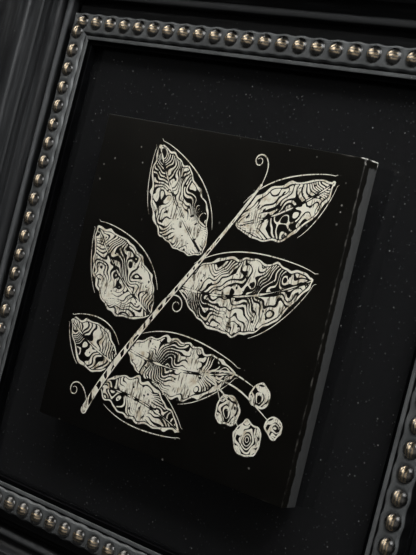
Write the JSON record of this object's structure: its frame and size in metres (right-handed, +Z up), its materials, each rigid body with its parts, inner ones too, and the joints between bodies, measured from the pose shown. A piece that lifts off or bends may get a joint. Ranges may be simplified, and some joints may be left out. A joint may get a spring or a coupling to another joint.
{
  "type": "framed engraved panel",
  "caption": "Square black wall frame with a beaded inner strip, holding a small engraved panel that floats in front of a gloss black board.",
  "frame": {"origin": "centre of the framed piece's box", "axes": "+Z up as it hangs, -Y out of the front towards the viewer, +X to the viewer's right"},
  "size_m": [0.26, 0.0308, 0.26],
  "materials": {
    "black_frame": "satin black paint on a wooden moulding",
    "beaded_trim": "cast trim painted pewter grey, its beads polished dark with a worn warm sheen",
    "inner_step": "flat black paint",
    "black_board": "gloss black with a little dust",
    "engraved_panel": "smooth warm black coating, scratched through to cream, with bare grey edges",
    "foam_spacer": "black foam",
    "hardboard": "bare brown hardboard",
    "fixings": "zinc plated"
  },
  "bodies": {
    "root": {"frame_rail_top": "black_frame", "frame_rail_right": "black_frame", "frame_rail_bottom": "black_frame", "frame_rail_left": "black_frame", "beaded_liner_top": "beaded_trim", "beaded_liner_right": "beaded_trim", "beaded_liner_bottom": "beaded_trim", "beaded_liner_left": "beaded_trim", "inner_slip_top": "inner_step", "inner_slip_right": "inner_step", "inner_slip_bottom": "inner_step", "inner_slip_left": "inner_step", "background_board": "black_board", "engraved_panel": "engraved_panel", "panel_spacer": "foam_spacer", "backing_board": "hardboard", "framing_point_top_1": "fixings", "framing_point_top_2": "fixings", "framing_point_right_1": "fixings", "framing_point_right_2": "fixings", "framing_point_bottom_1": "fixings", "framing_point_bottom_2": "fixings", "framing_point_left_1": "fixings", "framing_point_left_2": "fixings", "sawtooth_hanger": "fixings", "hanger_nail_left": "fixings", "hanger_nail_right": "fixings"}
  },
  "joints": []
}
